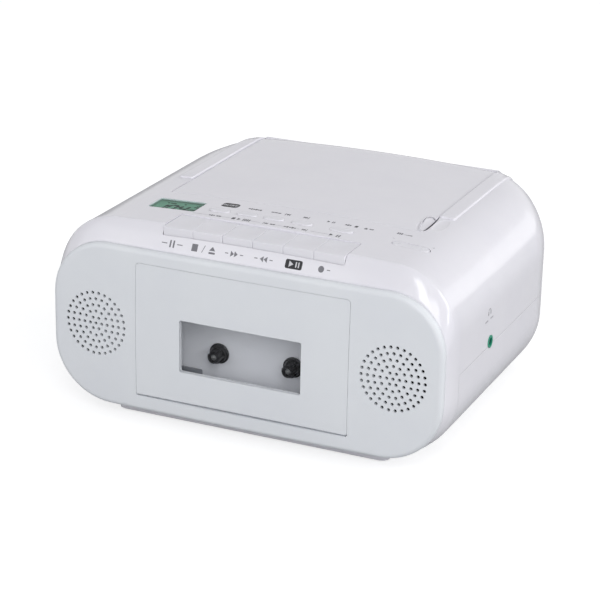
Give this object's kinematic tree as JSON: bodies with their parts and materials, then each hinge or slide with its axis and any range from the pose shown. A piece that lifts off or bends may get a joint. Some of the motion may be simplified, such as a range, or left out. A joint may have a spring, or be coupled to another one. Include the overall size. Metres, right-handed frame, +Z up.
{
  "type": "cassette player",
  "caption": "Table-top disc and cassette player with a rounded white cabinet, side speakers, a hinged cassette door, piano keys and a top disc lid.",
  "frame": {"origin": "middle of the footprint, on the surface it stands on", "axes": "+Z up, front with the cassette door towards -Y, +X to the viewer's right when facing the front"},
  "size_m": [0.2236, 0.2119, 0.1108],
  "materials": {
    "cabinet_white": "glossy moulded white",
    "panel_white": "fine matt cool white",
    "key_white": "satin white",
    "inner_grey": "satin grey",
    "black_plastic": "satin black",
    "dark_grey": "satin dark grey",
    "soft_rubber": "matt",
    "screw_steel": "zinc plated",
    "plate_steel": "galvanised sheet",
    "bright_steel": "polished",
    "core_steel": "laminated iron, dark",
    "pulley_brass": "turned",
    "board_green": "solder resist on fibreglass",
    "lcd_glass": "clear window over a green display",
    "door_glass": "clear, thin",
    "cone_paper": "felted paper",
    "ring_green": "satin green"
  },
  "bodies": {
    "cabinet": {"upper_cabinet": "cabinet_white", "lower_cabinet": "cabinet_white", "front_panel": "panel_white", "rubber_feet": "soft_rubber", "cabinet_screws": "screw_steel", "small_screws": "screw_steel", "battery_tray": "inner_grey", "battery_contacts": "bright_steel", "ac_inlet": "black_plastic", "cd_deck": "inner_grey", "disc_motor": "plate_steel", "pickup_rails": "bright_steel", "lcd_module": "board_green", "lcd_window": "lcd_glass", "key_shaft": "plate_steel", "key_springs": "screw_steel", "control_board": "board_green", "main_board": "board_green", "transformer": "core_steel", "speaker_frames": "plate_steel", "speaker_cones": "cone_paper", "headphone_jack": "black_plastic", "jack_ring": "ring_green", "door_spring": "screw_steel", "deck_plate": "inner_grey", "tape_motor": "plate_steel", "drive_belt": "soft_rubber"},
    "battery_door": {"battery_cover": "cabinet_white"},
    "antenna_turret": {"antenna_base": "dark_grey"},
    "antenna_outer": {"antenna_rod_outer": "bright_steel"},
    "antenna_middle": {"antenna_rod_middle": "bright_steel"},
    "antenna_tip": {"antenna_rod_tip": "bright_steel"},
    "disc_lid": {"cd_lid": "cabinet_white"},
    "disc_table": {"turntable": "black_plastic"},
    "pickup": {"optical_pickup": "black_plastic"},
    "pickup_screw": {"sled_screw": "dark_grey"},
    "pause": {"key_pause": "key_white"},
    "stop_eject": {"key_stop_eject": "key_white"},
    "forward": {"key_forward": "key_white"},
    "rewind": {"key_rewind": "key_white"},
    "play": {"key_play": "key_white"},
    "record": {"key_record": "key_white"},
    "power_button": {"button_power": "key_white"},
    "source_button": {"button_source": "key_white"},
    "back_button": {"button_back": "key_white"},
    "next_button": {"button_next": "key_white"},
    "disc_play_button": {"button_disc_play": "key_white"},
    "volume": {"volume_rocker": "key_white"},
    "tape_door": {"cassette_door": "panel_white", "door_lens": "door_glass", "cassette_holder": "panel_white", "holder_springs": "screw_steel"},
    "supply": {"supply_spindle": "black_plastic"},
    "takeup": {"takeup_spindle": "black_plastic"},
    "capstan": {"capstan_flywheel": "plate_steel"},
    "pulley": {"motor_pulley": "pulley_brass"},
    "head_slide": {"head_plate": "plate_steel", "tape_heads": "bright_steel"},
    "pinch": {"pinch_roller": "soft_rubber"},
    "sensor": {"sensing_lever": "dark_grey"}
  },
  "joints": [
    {"name": "door_hinge", "type": "hinge", "parent": "cabinet", "child": "tape_door", "pos_m": [0, -0.10254, 0.0195], "axis": [1, 0, 0], "range_deg": [0, 28]},
    {"name": "lid_hinge", "type": "hinge", "parent": "cabinet", "child": "disc_lid", "pos_m": [0, 0.08156, 0.1015], "axis": [-1, 0, 0], "range_deg": [0, 65]},
    {"name": "battery_hinge", "type": "hinge", "parent": "cabinet", "child": "battery_door", "pos_m": [0, 0.09366, 0.0215], "axis": [-1, 0, 0], "range_deg": [0, 75]},
    {"name": "antenna_swivel", "type": "hinge", "parent": "cabinet", "child": "antenna_turret", "pos_m": [0.062, 0.10326, 0.088], "axis": [0, 1, 0], "range_deg": [0, 180]},
    {"name": "antenna_tilt", "type": "hinge", "parent": "antenna_turret", "child": "antenna_outer", "pos_m": [0.062, 0.10326, 0.088], "axis": [0, 0, -1], "range_deg": [0, 90]},
    {"name": "antenna_draw_middle", "type": "slide", "parent": "antenna_outer", "child": "antenna_middle", "axis": [-1, 0, 0], "range_m": [0, 0.085]},
    {"name": "antenna_draw_tip", "type": "slide", "parent": "antenna_middle", "child": "antenna_tip", "axis": [-1, 0, 0], "range_m": [0, 0.085]},
    {"name": "turntable_spin", "type": "hinge", "parent": "cabinet", "child": "disc_table", "pos_m": [0, 0.02156, 0.096], "axis": [0, 0, 1], "continuous": true},
    {"name": "pickup_travel", "type": "slide", "parent": "cabinet", "child": "pickup", "axis": [1, 0, 0], "range_m": [-0.007, 0.021]},
    {"name": "sled_screw_spin", "type": "hinge", "parent": "cabinet", "child": "pickup_screw", "pos_m": [0.03, -0.00544, 0.0828], "axis": [1, 0, 0], "range_deg": [-426, 1266]},
    {"name": "key_pause_press", "type": "hinge", "parent": "cabinet", "child": "pause", "pos_m": [-0.04025, -0.06944, 0.1045], "axis": [1, 0, 0], "range_deg": [0, 9], "stiffness_Nm_per_rad": 0.15, "springref_deg": -17.19, "deforming": ["key_springs"]},
    {"name": "key_stop_eject_press", "type": "hinge", "parent": "cabinet", "child": "stop_eject", "pos_m": [-0.02335, -0.06944, 0.1045], "axis": [1, 0, 0], "range_deg": [0, 9], "stiffness_Nm_per_rad": 0.15, "springref_deg": -17.19, "deforming": ["key_springs"]},
    {"name": "key_forward_press", "type": "hinge", "parent": "cabinet", "child": "forward", "pos_m": [-0.00645, -0.06944, 0.1045], "axis": [1, 0, 0], "range_deg": [0, 9], "stiffness_Nm_per_rad": 0.15, "springref_deg": -17.19, "deforming": ["key_springs"]},
    {"name": "key_rewind_press", "type": "hinge", "parent": "cabinet", "child": "rewind", "pos_m": [0.01045, -0.06944, 0.1045], "axis": [1, 0, 0], "range_deg": [0, 9], "stiffness_Nm_per_rad": 0.15, "springref_deg": -17.19, "deforming": ["key_springs"]},
    {"name": "key_play_press", "type": "hinge", "parent": "cabinet", "child": "play", "pos_m": [0.02735, -0.06944, 0.1045], "axis": [1, 0, 0], "range_deg": [0, 9], "stiffness_Nm_per_rad": 0.15, "springref_deg": -17.19, "deforming": ["key_springs"]},
    {"name": "key_record_press", "type": "hinge", "parent": "cabinet", "child": "record", "pos_m": [0.04425, -0.06944, 0.1045], "axis": [1, 0, 0], "range_deg": [0, 9], "stiffness_Nm_per_rad": 0.15, "springref_deg": -17.19, "deforming": ["key_springs"]},
    {"name": "button_power_press", "type": "slide", "parent": "cabinet", "child": "power_button", "axis": [0, 0, -1], "range_m": [0, 0.0007], "stiffness_N_per_m": 600, "springref_m": -0.001},
    {"name": "button_source_press", "type": "slide", "parent": "cabinet", "child": "source_button", "axis": [0, 0, -1], "range_m": [0, 0.0007], "stiffness_N_per_m": 600, "springref_m": -0.001},
    {"name": "button_back_press", "type": "slide", "parent": "cabinet", "child": "back_button", "axis": [0, 0, -1], "range_m": [0, 0.0007], "stiffness_N_per_m": 600, "springref_m": -0.001},
    {"name": "button_next_press", "type": "slide", "parent": "cabinet", "child": "next_button", "axis": [0, 0, -1], "range_m": [0, 0.0007], "stiffness_N_per_m": 600, "springref_m": -0.001},
    {"name": "button_disc_play_press", "type": "slide", "parent": "cabinet", "child": "disc_play_button", "axis": [0, 0, -1], "range_m": [0, 0.0007], "stiffness_N_per_m": 600, "springref_m": -0.001},
    {"name": "volume_rock", "type": "hinge", "parent": "cabinet", "child": "volume", "pos_m": [0.0758, -0.06444, 0.1042], "axis": [0, 1, 0], "range_deg": [-2.5, 2.5], "stiffness_Nm_per_rad": 0.05},
    {"name": "supply_spin", "type": "hinge", "parent": "cabinet", "child": "supply", "pos_m": [0.02125, -0.08894, 0.0394], "axis": [0, 1, 0], "continuous": true},
    {"name": "takeup_spin", "type": "hinge", "parent": "cabinet", "child": "takeup", "pos_m": [-0.02125, -0.08894, 0.0394], "axis": [0, 1, 0], "continuous": true},
    {"name": "capstan_spin", "type": "hinge", "parent": "cabinet", "child": "capstan", "pos_m": [-0.031, -0.08594, 0.066], "axis": [0, 1, 0], "continuous": true},
    {"name": "pulley_spin", "type": "hinge", "parent": "cabinet", "child": "pulley", "pos_m": [0.033, -0.07694, 0.068], "axis": [0, 1, 0], "continuous": true},
    {"name": "head_travel", "type": "slide", "parent": "cabinet", "child": "head_slide", "axis": [0, 0, -1], "range_m": [0, 0.0036]},
    {"name": "pinch_spin", "type": "hinge", "parent": "head_slide", "child": "pinch", "pos_m": [-0.031, -0.09194, 0.0766], "axis": [0, 1, 0], "continuous": true},
    {"name": "sensor_press", "type": "slide", "parent": "cabinet", "child": "sensor", "axis": [0, 1, 0], "range_m": [0, 0.0006], "stiffness_N_per_m": 150, "springref_m": -0.001}
  ],
  "couplings": [
    {"joint": "key_play_press", "follows": "head_travel", "rad_per_m": 43.633},
    {"joint": "pulley_spin", "follows": "capstan_spin", "ratio": 4.3247},
    {"joint": "sled_screw_spin", "follows": "pickup_travel", "rad_per_m": 1047.2}
  ]
}
